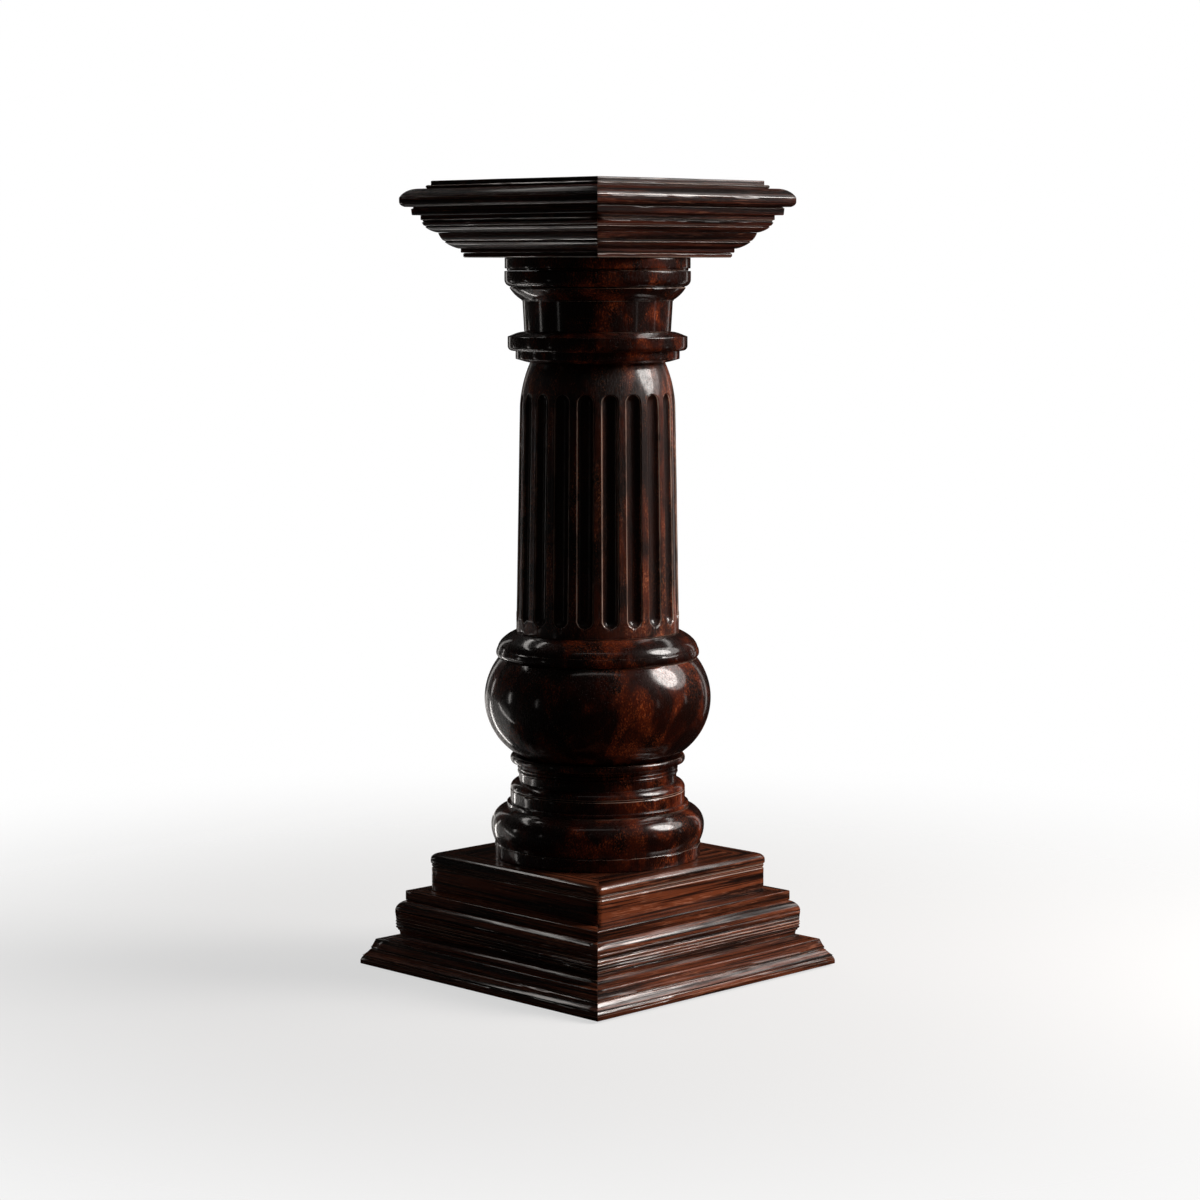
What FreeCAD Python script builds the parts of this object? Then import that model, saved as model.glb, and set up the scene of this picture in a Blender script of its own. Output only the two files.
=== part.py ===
import FreeCAD, Part
import math
import os
import re
import Sketcher
from FreeCAD import Vector

# A polished pedestal column. A mitred box plinth with three tiers of applied
# moulding carries a stack of turned pieces, and a square moulded cap closes it.
# One tie rod runs up the middle and clamps the stack together.
# The column's axis is the Z axis, the feet stand on Z = 0, and the front is -Y.

doc = FreeCAD.newDocument("pedestal")

# Every size is in millimetres. A "half" is the distance from the column's axis
# to a flat side. An "out" or "in" is how far a face steps away from the face
# before it, and a "rise" is how high it goes. A "bow" is how far an arc stands
# out of its chord, as a share of the chord.
SIZES = {
    # fits and touches shared by all the pieces
    "fit_gap": 0.2,
    "end_gap": 0.5,
    "eased_edge": 1.0,
    "quirk_depth": 1.2,
    "quirk_width": 2.0,
    "round_bow": 0.19,
    "bead_bow": 0.38,
    "gentle_bow": 0.06,
    # felt pads
    "pad_radius": 15.0,
    "pad_thick": 2.0,
    "pad_in": 29.5,
    # base moulding, the lowest tier
    "base_out": 57.7,
    "base_band": 9.0,
    "base_splay_in": 8.5,
    "base_splay_rise": 9.0,
    "base_fascia_in": 4.5,
    "base_fascia_rise": 12.0,
    "base_lip": 3.0,
    "base_cove_in": 15.5,
    "base_cove_rise": 5.0,
    # torus moulding, the middle tier
    "torus_out": 28.6,
    "torus_foot_in": 4.3,
    "torus_cavetto_rise": 7.0,
    "torus_face_in": 0.8,
    "torus_face_rise": 14.0,
    "torus_quirk": 2.6,
    "torus_swell_rise": 4.4,
    "torus_crown_in": 10.0,
    "torus_crown_rise": 13.0,
    # ledge moulding, the upper tier
    "ledge_out": 19.6,
    "ledge_height": 11.6,
    # box plinth
    "plinth_half": 139.8,
    "plinth_wall": 19.0,
    "plinth_reveal": 32.4,
    "plinth_round": 8.0,
    "plinth_quirk_drop": 3.0,
    "board_thick": 11.8,
    "board_overhang": 1.0,
    "board_round": 7.0,
    "block_side": 25.0,
    "bearer_thick": 30.0,
    "bearer_half_width": 50.0,
    # foot of the column
    "foot_ring_radius": 120.2,
    "foot_ring_rise": 16.2,
    "foot_torus_out": 4.2,
    "foot_torus_low": 20.0,
    "foot_torus_high": 19.0,
    "foot_torus_in": 10.5,
    "foot_neck_in": 7.0,
    "foot_neck_rise": 3.0,
    # lower collar, between foot and bulb
    "lower_fillet_radius": 106.0,
    "lower_fillet_rise": 5.4,
    "lower_ring_radius": 102.0,
    "lower_ring_rise": 15.6,
    "lower_crown_rise": 9.0,
    "lower_neck_radius": 92.0,
    "lower_neck_rise": 8.6,
    "lower_bead_rise": 4.2,
    "lower_flare_rise": 5.0,
    "lower_lip_radius": 100.4,
    "lower_lip_rise": 8.0,
    # bulb
    "bulb_radius": 131.6,
    "bulb_belly_rise": 66.5,
    "bulb_crown_rise": 47.5,
    "bulb_foot_in": 39.2,
    "bulb_crown_in": 16.7,
    # shaft collar, between bulb and shaft
    "collar_radius": 118.0,
    "collar_foot_in": 4.4,
    "collar_bead_low": 5.5,
    "collar_bead_high": 5.5,
    "collar_step_in": 0.4,
    "collar_step_rise": 7.0,
    "collar_fillet_in": 3.0,
    "collar_fillet_rise": 1.6,
    "collar_crown_in": 17.0,
    "collar_crown_rise": 10.4,
    # fluted shaft
    "shaft_foot_radius": 94.6,
    "shaft_straight_rise": 256.0,
    "shaft_taper_in": 4.7,
    "shaft_shoulder_rise": 55.0,
    "shaft_shoulder_in": 12.0,
    "entasis_bow": 0.004,
    "shoulder_bow": 0.05,
    "flute_count": 20,
    "flute_cutter": 10.0,
    "flute_depth": 7.0,
    "flute_foot": 22.0,
    "flute_crown": 12.0,
    # necking, the pair of rings below the capital
    "necking_lip_radius": 94.5,
    "necking_splay_rise": 4.0,
    "necking_lip_rise": 9.4,
    "necking_ring_radius": 103.5,
    "necking_ring_round": 5.0,
    "necking_ring_rise": 11.4,
    "necking_crown_radius": 87.0,
    "necking_crown_rise": 5.2,
    # capital
    "capital_neck_radius": 84.5,
    "capital_neck_flare": 2.0,
    "capital_neck_rise": 35.5,
    "capital_ovolo_out": 13.8,
    "capital_ovolo_rise": 14.0,
    "capital_quirk_in": 2.0,
    "capital_band_out": 7.5,
    "capital_swell_rise": 7.5,
    "capital_band_rise": 10.5,
    # abacus disc
    "abacus_radius": 106.6,
    "abacus_throat_in": 2.4,
    "abacus_throat_rise": 2.6,
    "abacus_rise": 12.4,
    # cap
    "core_in": 6.6,
    "soffit_out": 2.6,
    "soffit_thick": 5.5,
    "ovolo_fillet_out": 11.2,
    "ovolo_fillet_rise": 4.7,
    "ovolo_step_out": 1.8,
    "ovolo_swell_out": 16.6,
    "ovolo_swell_rise": 18.3,
    "ovolo_bow": 0.13,
    "bed_step_out": 0.8,
    "bed_swell_out": 12.4,
    "bed_swell_rise": 12.0,
    "bed_quirk_rise": 2.0,
    "bed_fillet_out": 0.8,
    "bed_fillet_rise": 5.6,
    "bed_fascia_out": 7.2,
    "bed_fascia_rise": 9.4,
    "bed_batter": 0.8,
    "nosing_out": 9.4,
    "nosing_under_in": 4.5,
    "nosing_under_rise": 6.0,
    "nosing_flat": 4.5,
    "nosing_top_in": 15.5,
    "nosing_top_rise": 10.5,
    "nosing_bow": 0.15,
    "panel_step_in": 21.7,
    "panel_step_rise": 4.0,
    "panel_top_in": 4.3,
    "panel_top_rise": 5.0,
    # splines in the mitres of the nosing
    "spline_thick": 4.0,
    "spline_half_length": 20.0,
    "spline_half_width": 9.0,
    # joints of the turned stack
    "spigot_radius": 30.0,
    "spigot_length": 10.0,
    "dowel_radius": 5.0,
    "dowel_reach": 60.0,
    "dowel_up": 18.0,
    "dowel_down": 9.0,
    # tie rod with its nuts and washers
    "rod_radius": 6.0,
    "rod_clearance": 1.0,
    "rod_end": 4.0,
    "rod_chamfer": 1.5,
    "nut_wall": 3.0,
    "nut_thick": 10.0,
    "washer_wall": 9.0,
    "washer_thick": 2.5,
    "nut_pocket_gap": 2.0,
    "nut_headroom": 7.5,
    # screws that hold the base moulding to the plinth
    "screw_in": 64.8,
    "screw_radius": 2.2,
    "screw_head_out": 2.2,
    "screw_head_rise": 2.8,
    "screw_length": 45.0,
    "screw_point": 6.0,
}

# What follows from the sizes: the height of each piece, the level at which it
# stands above the floor, and the halves and radii that pieces share.
DERIVED = {
    "floor": "0",
    "wood_foot": "pad_thick",
    "base_height": "base_band + base_splay_rise + base_fascia_rise + base_cove_rise",
    "base_top": "wood_foot + base_height",
    "torus_face_top": "torus_cavetto_rise + torus_face_rise",
    "torus_widest": "torus_face_top + torus_quirk + torus_swell_rise",
    "torus_height": "torus_widest + torus_crown_rise",
    "torus_top": "base_top + torus_height",
    "box_height": "base_height + torus_height + ledge_height + plinth_reveal",
    "box_top": "wood_foot + box_height",
    "plinth_top": "box_top + board_thick",
    "foot_belly": "foot_ring_rise + foot_torus_low",
    "foot_height": "foot_belly + foot_torus_high + foot_neck_rise",
    "foot_top": "plinth_top + foot_height",
    "lower_ring_top": "lower_fillet_rise + lower_ring_rise",
    "lower_crown_top": "lower_ring_top + lower_crown_rise",
    "lower_bead_foot": "lower_crown_top + lower_neck_rise",
    "lower_flare_foot": "lower_bead_foot + 2 * lower_bead_rise",
    "lower_lip_foot": "lower_flare_foot + lower_flare_rise",
    "lower_collar_height": "lower_lip_foot + lower_lip_rise",
    "lower_collar_top": "foot_top + lower_collar_height",
    "bulb_height": "bulb_belly_rise + bulb_crown_rise",
    "bulb_top": "lower_collar_top + bulb_height",
    "collar_bead_top": "collar_bead_low + collar_bead_high",
    "collar_step_top": "collar_bead_top + collar_step_rise",
    "collar_fillet_top": "collar_step_top + collar_fillet_rise",
    "collar_height": "collar_fillet_top + collar_crown_rise",
    "collar_top": "bulb_top + collar_height",
    "shaft_height": "shaft_straight_rise + shaft_shoulder_rise",
    "shaft_top": "collar_top + shaft_height",
    "shaft_shoulder_radius": "shaft_foot_radius - shaft_taper_in",
    "shaft_neck_radius": "shaft_shoulder_radius - shaft_shoulder_in",
    "necking_lip_top": "necking_splay_rise + necking_lip_rise",
    "necking_ring_top": "necking_lip_top + necking_ring_round + necking_ring_rise",
    "necking_height": "necking_ring_top + necking_crown_rise",
    "necking_top": "shaft_top + necking_height",
    "capital_neck_top_radius": "capital_neck_radius + capital_neck_flare",
    "capital_ovolo_foot_radius": "capital_neck_top_radius + quirk_depth",
    "capital_ovolo_radius": "capital_ovolo_foot_radius + capital_ovolo_out",
    "capital_band_radius": "capital_ovolo_radius - capital_quirk_in + capital_band_out",
    "capital_ovolo_foot": "capital_neck_rise + quirk_width / 2",
    "capital_ovolo_top": "capital_ovolo_foot + capital_ovolo_rise",
    "capital_swell_foot": "capital_ovolo_top + quirk_width / 2",
    "capital_swell_top": "capital_swell_foot + capital_swell_rise",
    "capital_height": "capital_swell_top + capital_band_rise",
    "capital_top": "necking_top + capital_height",
    "abacus_height": "abacus_throat_rise + abacus_rise",
    "abacus_top": "capital_top + abacus_height",
    "soffit_top": "abacus_top + soffit_thick",
    "ovolo_height": "ovolo_fillet_rise + ovolo_swell_rise",
    "ovolo_top": "soffit_top + ovolo_height",
    "bed_fillet_foot": "bed_swell_rise + bed_quirk_rise",
    "bed_fillet_top": "bed_fillet_foot + bed_fillet_rise",
    "bed_height": "bed_fillet_top + bed_fascia_rise",
    "bed_top": "ovolo_top + bed_height",
    "core_height": "ovolo_height + bed_height",
    "nosing_arc_foot": "nosing_under_rise + nosing_flat",
    "nosing_height": "nosing_arc_foot + nosing_top_rise",
    "wall_face": "plinth_half - plinth_wall",
    "base_half": "plinth_half + base_out",
    "base_fascia_half": "base_half - base_splay_in - base_fascia_in",
    "torus_half": "plinth_half + torus_out",
    "torus_face_half": "torus_half - torus_face_in",
    "ledge_half": "plinth_half + ledge_out",
    "core_half": "abacus_radius - core_in",
    "soffit_half": "abacus_radius + soffit_out",
    "ovolo_fillet_half": "core_half + ovolo_fillet_out",
    "ovolo_half": "ovolo_fillet_half + ovolo_step_out + ovolo_swell_out",
    "bed_foot_half": "ovolo_half + bed_step_out",
    "bed_swell_half": "bed_foot_half + bed_swell_out",
    "bed_fillet_half": "bed_swell_half + bed_fillet_out",
    "bed_fascia_half": "bed_fillet_half + bed_fascia_out",
    "bed_half": "bed_fascia_half + bed_batter",
    "nosing_half": "bed_half + nosing_out",
    "panel_step_half": "nosing_half - panel_step_in",
    "spline_centre": "(core_half + nosing_half) / 2",
    "spline_foot": "(nosing_height - spline_thick) / 2",
    "rod_bore_radius": "rod_radius + rod_clearance",
    "nut_flat_half": "rod_radius + nut_wall",
    "washer_radius": "rod_radius + washer_wall",
    "nut_pocket_radius": "washer_radius + nut_pocket_gap",
    "rod_end_stack": "washer_thick + nut_thick + rod_end",
    "nut_pocket_depth": "rod_end_stack + nut_headroom",
    "cap_seat": "bed_top - nut_pocket_depth",
    "bearer_foot": "box_top - bearer_thick",
    "rod_low": "bearer_foot - rod_end_stack",
    "rod_length": "cap_seat + rod_end_stack - rod_low",
    "screw_reach": "plinth_half - screw_in",
    "screw_level": "base_height / 2",
    "screw_tip": "wall_face + screw_length",
}

# Each side of the square parts, and the turn that takes a back piece there. The
# corners are named the same way from the corner between the back and the right.
SIDES = (("back", 0), ("left", 90), ("front", 180), ("right", 270))
CORNERS = (("back_right", 0), ("back_left", 90), ("front_left", 180), ("front_right", 270))

sheet = doc.addObject("Spreadsheet::Sheet", "Sizes")
for row, (alias, size) in enumerate(SIZES.items(), start=1):
    sheet.set(f"A{row}", alias)
    sheet.set(f"B{row}", str(size))
    sheet.setAlias(f"B{row}", alias)
doc.recompute()


def sized(text):
    """An expression in which every size's name points at its cell."""
    def place(found):
        word = found.group(0)
        if word in DERIVED:
            return f"({sized(DERIVED[word])})"
        return f"Sizes.{word}" if word in SIZES else word
    return re.sub(r"[a-z_]+", place, text)


def number(text):
    return float(sheet.evalExpression(sized(text)))


def new_body(name, level, turn_angle=0):
    """An empty piece whose own zero height lies at a level of the stack."""
    body = doc.addObject("PartDesign::Body", name)
    body.Label = name
    body.Placement = FreeCAD.Placement(Vector(0, 0, number(level)),
                                       FreeCAD.Rotation(Vector(0, 0, 1), turn_angle))
    body.setExpression("Placement.Base.z", sized(level))
    return body


def origin_part(body, role):
    return next(part for part in body.Origin.OriginFeatures if part.Role == role)


def new_sketch(body, name, plane, lift=None):
    """A sketch on one of the piece's own planes, or lifted off it."""
    sketch = body.newObject("Sketcher::SketchObject", name)
    sketch.AttachmentSupport = [(origin_part(body, plane), "")]
    sketch.MapMode = "FlatFace"
    if lift:
        sketch.setExpression("AttachmentOffset.Base.z", sized(lift))
    return sketch


def at(across, up, ease=None, bow=None, upright=False):
    """A corner of an outline, given as two expressions.

    ease is the radius that rounds the corner. bow makes the edge that leaves
    the corner an arc, which swells out of the piece, or into it where the bow is
    negative. upright makes that edge an arc that swells, and that stands upright
    at its wider end.
    """
    return {"across": across, "up": up, "ease": ease, "bow": bow, "upright": upright}


def fix(sketch, kind, text, *places):
    """Give a sketch a dimension that an expression drives."""
    fixed = sketch.addConstraint(Sketcher.Constraint(kind, *places, number(text)))
    sketch.setExpression(f"Constraints[{fixed}]", sized(text))


def hold(sketch, geometry, position, corner):
    """Fix a point of the sketch at a corner's two expressions."""
    fix(sketch, "DistanceX", corner["across"], -1, 1, geometry, position)
    fix(sketch, "DistanceY", corner["up"], -1, 1, geometry, position)


def rounding(before, corner, after, radius):
    """Start, middle and end of the arc that rounds a corner."""
    back = (before - corner).normalize()
    ahead = (after - corner).normalize()
    half_angle = back.getAngle(ahead) / 2
    setback = radius / math.tan(half_angle)
    inward = (back + ahead).normalize()
    middle = corner + inward * (radius / math.sin(half_angle) - radius)
    return corner + back * setback, middle, corner + ahead * setback


def arc_between(first, last):
    """Radius, as an expression, and rise of the arc from one corner to the next."""
    across = f"({last['across']} - ({first['across']}))"
    up = f"({last['up']} - ({first['up']}))"
    chord_squared = f"({across}^2 + {up}^2)"
    if first["upright"]:
        radius = f"{chord_squared} / (2 * abs({across}))"
        return radius, number(radius) - math.sqrt(number(radius) ** 2 - number(chord_squared) / 4)
    bow = first["bow"]
    radius = f"sqrt({chord_squared}) * (1 / (8 * abs({bow})) + abs({bow}) / 2)"
    return radius, number(bow) * math.sqrt(number(chord_squared))


def edges_of(corners):
    """The lines and arcs of a closed outline, as kind, corner, ends and shape."""
    points = [Vector(number(corner["across"]), number(corner["up"]), 0) for corner in corners]
    count = len(corners)
    rounds = {i: rounding(points[i - 1], points[i], points[(i + 1) % count], number(corner["ease"]))
              for i, corner in enumerate(corners) if corner["ease"]}
    edges = []
    for i, corner in enumerate(corners):
        ahead = (i + 1) % count
        start = rounds[i][2] if i in rounds else points[i]
        end = rounds[ahead][0] if ahead in rounds else points[ahead]
        if i in rounds:
            edges.append(("round", i, rounds[i][0], start, Part.Arc(*rounds[i])))
        if corner["bow"] or corner["upright"]:
            rise = arc_between(corner, corners[ahead])[1]
            along = (end - start).normalize()
            middle = (start + end) / 2 + Vector(along.y, -along.x, 0) * rise
            edges.append(("arc", i, start, end, Part.Arc(start, middle, end)))
        else:
            edges.append(("line", i, start, end, Part.LineSegment(start, end)))
    return edges


def draw(sketch, corners):
    """Draw a closed outline, anticlockwise, with every point held by the sizes."""
    edges = edges_of(corners)
    drawn = []
    for kind, i, start, end, shape in edges:
        edge = sketch.addGeometry(shape, False)
        gap = sketch.getPoint(edge, 1) - start
        drawn.append((edge, 1, 2) if gap.Length < (start - end).Length / 2 else (edge, 2, 1))
    for place, (kind, i, start, end, shape) in enumerate(edges):
        edge, first, last = drawn[place]
        behind = place - 1
        ahead = (place + 1) % len(edges)
        joint = "Tangent" if "round" in (kind, edges[ahead][0]) else "Coincident"
        sketch.addConstraint(
            Sketcher.Constraint(joint, edge, last, drawn[ahead][0], drawn[ahead][1]))
        if kind == "round":
            corner_x, corner_y = number(corners[i]["across"]), number(corners[i]["up"])
            tip = sketch.addGeometry(Part.Point(Vector(corner_x, corner_y, 0)), True)
            sketch.addConstraint(Sketcher.Constraint("PointOnObject", tip, 1, drawn[behind][0]))
            sketch.addConstraint(Sketcher.Constraint("PointOnObject", tip, 1, drawn[ahead][0]))
            hold(sketch, tip, 1, corners[i])
            fix(sketch, "Radius", corners[i]["ease"], edge)
        elif edges[behind][0] != "round":
            hold(sketch, edge, first, corners[i])
        if kind == "arc":
            fix(sketch, "Radius", arc_between(corners[i], corners[(i + 1) % len(corners)])[0], edge)
    return sketch


def draw_circles(sketch, radius, centres):
    """Draw equal circles round the given corners."""
    for centre in centres:
        middle = Vector(number(centre["across"]), number(centre["up"]), 0)
        circle = sketch.addGeometry(Part.Circle(middle, Vector(0, 0, 1), number(radius)), False)
        fix(sketch, "Radius", radius, circle)
        hold(sketch, circle, 3, centre)
    return sketch


def proved(cut, uncut):
    """A cut, once it is known to take something away."""
    doc.recompute()
    if cut.Shape.isNull() or cut.Shape.Volume > uncut.Shape.Volume - 1:
        raise ValueError(f"{cut.Name} cuts nothing")
    return cut


def turn(body, name, sketch, axis="V_Axis"):
    """Turn an outline about the column's axis, or about its own first edge."""
    turned = body.newObject("PartDesign::Revolution", name)
    turned.Profile = sketch
    turned.ReferenceAxis = (sketch, [axis])
    turned.Angle = 360
    doc.recompute()
    return turned


def bore_out(body, name, sketch):
    """Cut away what an outline sweeps when it turns about its own first edge."""
    uncut = body.Tip
    cut = body.newObject("PartDesign::Groove", name)
    cut.Profile = sketch
    cut.ReferenceAxis = (sketch, ["Edge1"])
    cut.Angle = 360
    return proved(cut, uncut)


def pad(body, name, sketch, length, both_ways=False):
    raised = body.newObject("PartDesign::Pad", name)
    raised.Profile = sketch
    raised.SideType = "Symmetric" if both_ways else "One side"
    raised.setExpression("Length", sized(length))
    doc.recompute()
    return raised


def pocket(body, name, sketch, depth=None):
    """Cut a sketch's outline upwards, right through where no depth is given."""
    uncut = body.Tip
    cut = body.newObject("PartDesign::Pocket", name)
    cut.Profile = sketch
    cut.Reversed = True
    if depth:
        cut.setExpression("Length", sized(depth))
    else:
        cut.Type = "ThroughAll"
    return proved(cut, uncut)


def repeat(body, name, originals, count):
    """Copies of features, spaced evenly round the column's axis."""
    pattern = body.newObject("PartDesign::PolarPattern", name)
    pattern.Originals = originals
    pattern.Axis = (origin_part(body, "Z_Axis"), [""])
    pattern.Angle = 360
    pattern.setExpression("Occurrences", sized(count))
    body.Tip = pattern
    doc.recompute()


def reflect(body, name, original):
    """A feature's twin on the other side of the piece's middle."""
    twin = body.newObject("PartDesign::Mirrored", name)
    twin.Originals = [original]
    twin.MirrorPlane = (origin_part(body, "YZ_Plane"), [""])
    body.Tip = twin
    return proved(twin, original)


def soften_top(body, height, radius):
    """Round the edges that lie at the given height, the piece's highest."""
    base = body.Tip
    top = number(height)
    edges = [f"Edge{i}" for i, edge in enumerate(base.Shape.Edges, start=1)
             if all(abs(vertex.Z - top) < Part.Precision.confusion() for vertex in edge.Vertexes)]
    fillet = body.newObject("PartDesign::Fillet", "softened_top")
    fillet.Base = (base, edges)
    fillet.setExpression("Radius", sized(radius))
    doc.recompute()


def rectangle(half_long, half_wide, ease=None):
    """The corners of a board in plan, centred on the column's axis."""
    return [at(f"-({half_long})", f"-({half_wide})", ease),
            at(half_long, f"-({half_wide})", ease),
            at(half_long, half_wide, ease),
            at(f"-({half_long})", half_wide, ease)]


def plate(body, name, corners, thickness, lift=None):
    """Raise a board from its plan."""
    pad(body, name, draw(new_sketch(body, f"{name}_outline", "XY_Plane", lift), corners), thickness)


def rod_bore(body):
    """The hole that clears the tie rod, right through a board or block."""
    outline = new_sketch(body, "rod_bore_outline", "XY_Plane")
    pocket(body, "rod_bore", draw_circles(outline, "rod_bore_radius", [at("0", "0")]))


def dowel_holes(body, depth=None, lift=None):
    """A pair of dowel holes, cut upwards from the given height."""
    outline = new_sketch(body, "dowel_hole_outline", "XY_Plane", lift)
    centres = [at("dowel_reach", "0"), at("-dowel_reach", "0")]
    pocket(body, "dowel_holes", draw_circles(outline, "dowel_radius + fit_gap", centres), depth)


def mitred(name, level, turn_angle, half, section):
    """One of four lengths that frame the plinth or the cap, mitred at both ends."""
    body = new_body(name, level, turn_angle)
    pad(body, "run", draw(new_sketch(body, "section", "YZ_Plane"), section), f"2 * {half}", True)
    far = f"2 * {half}"
    pocket(body, "mitres", draw(new_sketch(body, "mitre_outline", "XY_Plane"), [
        at("0", "0"), at(f"-{far}", far), at(f"-{far}", f"-{half}"),
        at(far, f"-{half}"), at(far, far)]))
    return body


def turned_piece(name, level, height, outline, socket=True, spigot=True):
    """A turned piece, bored for the tie rod.

    A spigot on its top stands in the socket of the piece above.
    """
    body = new_body(name, level)
    foot = [at("rod_bore_radius", "0")]
    if socket:
        foot = [at("rod_bore_radius", "spigot_length + end_gap"),
                at("spigot_radius + fit_gap", "spigot_length + end_gap"),
                at("spigot_radius + fit_gap", "0")]
    top = [at("rod_bore_radius", height)]
    if spigot:
        top = [at("spigot_radius", height),
               at("spigot_radius", f"{height} + spigot_length"),
               at("rod_bore_radius", f"{height} + spigot_length")]
    turn(body, "turning", draw(new_sketch(body, "outline", "XZ_Plane"), foot + outline + top))
    return body


# Felt pads under the corners of the base moulding.

pads = new_body("felt_pads", "floor")
pad_outline = draw_circles(new_sketch(pads, "pad_outline", "XY_Plane"), "pad_radius",
                           [at("base_half - pad_in", "base_half - pad_in")])
repeat(pads, "four_pads", [pad(pads, "first_pad", pad_outline, "pad_thick")], "4")

# The box plinth: four mitred boards with a thin groove below their top edge and
# corners rounded above the ledge, blocks glued into the corners, and a bearer
# under the top board that takes the pull of the tie rod. Screws go out through
# the boards into the base moulding.

quirk_top = "box_height - plinth_quirk_drop"
for side, angle in SIDES:
    board = mitred(f"plinth_board_{side}", "wood_foot", angle, "plinth_half", [
        at("wall_face", "0"),
        at("plinth_half", "0"),
        at("plinth_half", f"{quirk_top} - quirk_width"),
        at("plinth_half - quirk_depth", f"{quirk_top} - quirk_width / 2"),
        at("plinth_half", quirk_top),
        at("plinth_half", "box_height"),
        at("wall_face", "box_height")])
    tip_waste = draw(new_sketch(board, "tip_outline", "XY_Plane", "box_height - plinth_reveal"), [
        at("plinth_half", "plinth_half - plinth_round", upright=True),
        at("plinth_half - plinth_round", "plinth_half"),
        at("plinth_half - plinth_round", "plinth_half + plinth_round"),
        at("plinth_half + plinth_round", "plinth_half + plinth_round"),
        at("plinth_half + plinth_round", "plinth_half - plinth_round")])
    reflect(board, "other_tip", pocket(board, "rounded_tip", tip_waste))
    hole = draw(new_sketch(board, "hole_outline", "XY_Plane", "screw_level"), [
        at("screw_reach", "wall_face"),
        at("screw_reach", "plinth_half"),
        at("screw_reach + screw_radius + fit_gap", "plinth_half"),
        at("screw_reach + screw_radius + fit_gap", "wall_face + screw_head_rise"),
        at("screw_reach + screw_radius + screw_head_out + fit_gap", "wall_face")])
    reflect(board, "other_hole", bore_out(board, "screw_hole", hole))

for corner, angle in CORNERS:
    block = new_body(f"corner_block_{corner}", "wood_foot", angle)
    plate(block, "block", [
        at("wall_face - block_side", "wall_face - block_side"),
        at("wall_face", "wall_face - block_side"),
        at("wall_face", "wall_face"),
        at("wall_face - block_side", "wall_face")], "box_height")

bearer = new_body("plinth_bearer", "bearer_foot")
plate(bearer, "bearer", rectangle("wall_face", "bearer_half_width"), "bearer_thick")
rod_bore(bearer)
dowel_holes(bearer, "dowel_down", "bearer_thick - dowel_down")

top_board = new_body("plinth_top_board", "box_top")
plate(top_board, "board",
      rectangle("plinth_half + board_overhang", "plinth_half + board_overhang", "plinth_round"),
      "board_thick")
soften_top(top_board, "board_thick", "board_round")
rod_bore(top_board)
dowel_holes(top_board)

# The three tiers of moulding round the plinth, glued to its boards.

for side, angle in SIDES:
    base = mitred(f"base_mould_{side}", "wood_foot", angle, "base_half", [
        at("plinth_half", "0"),
        at("base_half", "0", "eased_edge"),
        at("base_half", "base_band", bow="-gentle_bow"),
        at("base_half - base_splay_in", "base_band + base_splay_rise"),
        at("base_fascia_half", "base_height - base_cove_rise", "eased_edge"),
        at("base_fascia_half - base_lip", "base_height - base_cove_rise", bow="-2 * gentle_bow"),
        at("base_fascia_half - base_lip - base_cove_in", "base_height"),
        at("plinth_half", "base_height")])
    hole = draw(new_sketch(base, "hole_outline", "XY_Plane", "screw_level"), [
        at("screw_reach", "plinth_half"),
        at("screw_reach", "screw_tip + end_gap"),
        at("screw_reach + screw_radius + fit_gap", "screw_tip + end_gap"),
        at("screw_reach + screw_radius + fit_gap", "plinth_half")])
    reflect(base, "other_hole", bore_out(base, "screw_hole", hole))

screws = new_body("base_screws", "wood_foot")
screw_pair = []
for hand, mirror in (("right", ""), ("left", "-")):
    outline = draw(new_sketch(screws, f"{hand}_screw_outline", "XY_Plane", "screw_level"), [
        at(f"{mirror}screw_reach", "wall_face"),
        at(f"{mirror}screw_reach", "screw_tip"),
        at(f"{mirror}(screw_reach + screw_radius)", "screw_tip - screw_point"),
        at(f"{mirror}(screw_reach + screw_radius)", "wall_face + screw_head_rise"),
        at(f"{mirror}(screw_reach + screw_radius + screw_head_out)", "wall_face")])
    screw_pair.append(turn(screws, f"{hand}_screw", outline, "Edge1"))
repeat(screws, "eight_screws", screw_pair, "4")

for side, angle in SIDES:
    mitred(f"torus_mould_{side}", "base_top", angle, "torus_half", [
        at("plinth_half", "0"),
        at("torus_half - torus_foot_in", "0", bow="-round_bow"),
        at("torus_face_half", "torus_cavetto_rise", bow="gentle_bow / 2"),
        at("torus_face_half", "torus_face_top"),
        at("torus_face_half - quirk_depth", "torus_face_top + torus_quirk / 3"),
        at("torus_face_half - quirk_depth", "torus_face_top + torus_quirk"),
        at("torus_face_half", "torus_face_top + torus_quirk", upright=True),
        at("torus_half", "torus_widest", upright=True),
        at("torus_half - torus_crown_in", "torus_height"),
        at("plinth_half", "torus_height")])

for side, angle in SIDES:
    mitred(f"ledge_mould_{side}", "torus_top", angle, "ledge_half", [
        at("plinth_half", "0"),
        at("ledge_half", "0", "eased_edge"),
        at("ledge_half", "ledge_height", "eased_edge"),
        at("plinth_half", "ledge_height")])

# The turned stack, from the foot up.

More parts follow.
